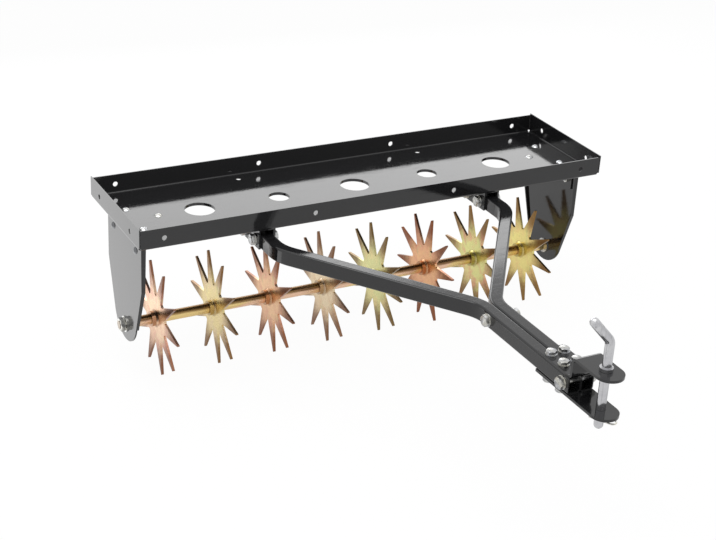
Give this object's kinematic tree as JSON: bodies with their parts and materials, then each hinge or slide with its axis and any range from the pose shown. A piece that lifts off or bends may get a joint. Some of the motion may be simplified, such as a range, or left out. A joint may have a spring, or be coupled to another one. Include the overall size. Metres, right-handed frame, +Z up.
{
  "type": "tow behind aerator",
  "caption": "Tow behind lawn aerator: a steel weight tray on side plates over an axle of free turning star tine wheels, towed by a bent twin tube drawbar with a pin hitch.",
  "frame": {"origin": "on the ground under the middle of the machine, halfway between the hitch tip and the back of the tray", "axes": "+Z up, +X along the tray to the machine's own right when seen from the hitch, the drawbar points to -Y"},
  "size_m": [1.016, 1.018, 0.4621],
  "materials": {
    "black_coat": "gloss black powder coat",
    "yellow_zinc": "yellow chromated zinc with coloured bloom",
    "plain_steel": "drawn steel",
    "bright_plate": "bright plated",
    "white_zinc": "bright zinc plated"
  },
  "bodies": {
    "frame": {"tray_pan": "black_coat", "left_side_bracket": "black_coat", "right_side_bracket": "black_coat", "left_side_plate": "black_coat", "right_side_plate": "black_coat", "side_bracket_bolts": "white_zinc", "side_bracket_nuts": "white_zinc", "axle_rod": "plain_steel", "axle_spacers": "yellow_zinc", "axle_washers": "white_zinc", "axle_nuts": "white_zinc", "left_arm_bracket": "black_coat", "right_arm_bracket": "black_coat", "arm_bracket_bolts": "white_zinc", "arm_bracket_nuts": "white_zinc", "left_draw_arm": "black_coat", "right_draw_arm": "black_coat", "arm_cross_bolts": "white_zinc", "arm_cross_nuts": "white_zinc", "drawbar_bolts": "white_zinc", "drawbar_nuts": "white_zinc", "cross_bolt_washers": "white_zinc", "hitch_upper_plate": "black_coat", "hitch_lower_plate": "black_coat", "hitch_bolts": "white_zinc", "hitch_nuts": "white_zinc", "hitch_washers": "white_zinc"},
    "wheel_1": {"star_wheel_1": "yellow_zinc"},
    "wheel_2": {"star_wheel_2": "yellow_zinc"},
    "wheel_3": {"star_wheel_3": "yellow_zinc"},
    "wheel_4": {"star_wheel_4": "yellow_zinc"},
    "wheel_5": {"star_wheel_5": "yellow_zinc"},
    "wheel_6": {"star_wheel_6": "yellow_zinc"},
    "wheel_7": {"star_wheel_7": "yellow_zinc"},
    "wheel_8": {"star_wheel_8": "yellow_zinc"},
    "pin": {"hitch_pin": "bright_plate"},
    "clip": {"hitch_pin_clip": "bright_plate"}
  },
  "joints": [
    {"name": "wheel_1_spin", "type": "hinge", "parent": "frame", "child": "wheel_1", "pos_m": [-0.42525, 0.377, 0.11515], "axis": [1, 0, 0], "continuous": true},
    {"name": "wheel_2_spin", "type": "hinge", "parent": "frame", "child": "wheel_2", "pos_m": [-0.30375, 0.377, 0.11515], "axis": [1, 0, 0], "continuous": true},
    {"name": "wheel_3_spin", "type": "hinge", "parent": "frame", "child": "wheel_3", "pos_m": [-0.18225, 0.377, 0.11515], "axis": [1, 0, 0], "continuous": true},
    {"name": "wheel_4_spin", "type": "hinge", "parent": "frame", "child": "wheel_4", "pos_m": [-0.06075, 0.377, 0.11515], "axis": [1, 0, 0], "continuous": true},
    {"name": "wheel_5_spin", "type": "hinge", "parent": "frame", "child": "wheel_5", "pos_m": [0.06075, 0.377, 0.11515], "axis": [1, 0, 0], "continuous": true},
    {"name": "wheel_6_spin", "type": "hinge", "parent": "frame", "child": "wheel_6", "pos_m": [0.18225, 0.377, 0.11515], "axis": [1, 0, 0], "continuous": true},
    {"name": "wheel_7_spin", "type": "hinge", "parent": "frame", "child": "wheel_7", "pos_m": [0.30375, 0.377, 0.11515], "axis": [1, 0, 0], "continuous": true},
    {"name": "wheel_8_spin", "type": "hinge", "parent": "frame", "child": "wheel_8", "pos_m": [0.42525, 0.377, 0.11515], "axis": [1, 0, 0], "continuous": true},
    {"name": "hitch_pin_turn", "type": "hinge", "parent": "frame", "child": "pin", "pos_m": [0, -0.475, 0.30515], "axis": [0, 0, 1], "continuous": true},
    {"name": "clip_pull", "type": "slide", "parent": "pin", "child": "clip", "axis": [0.5, -0.866, 0], "range_m": [0, 0.03]}
  ]
}
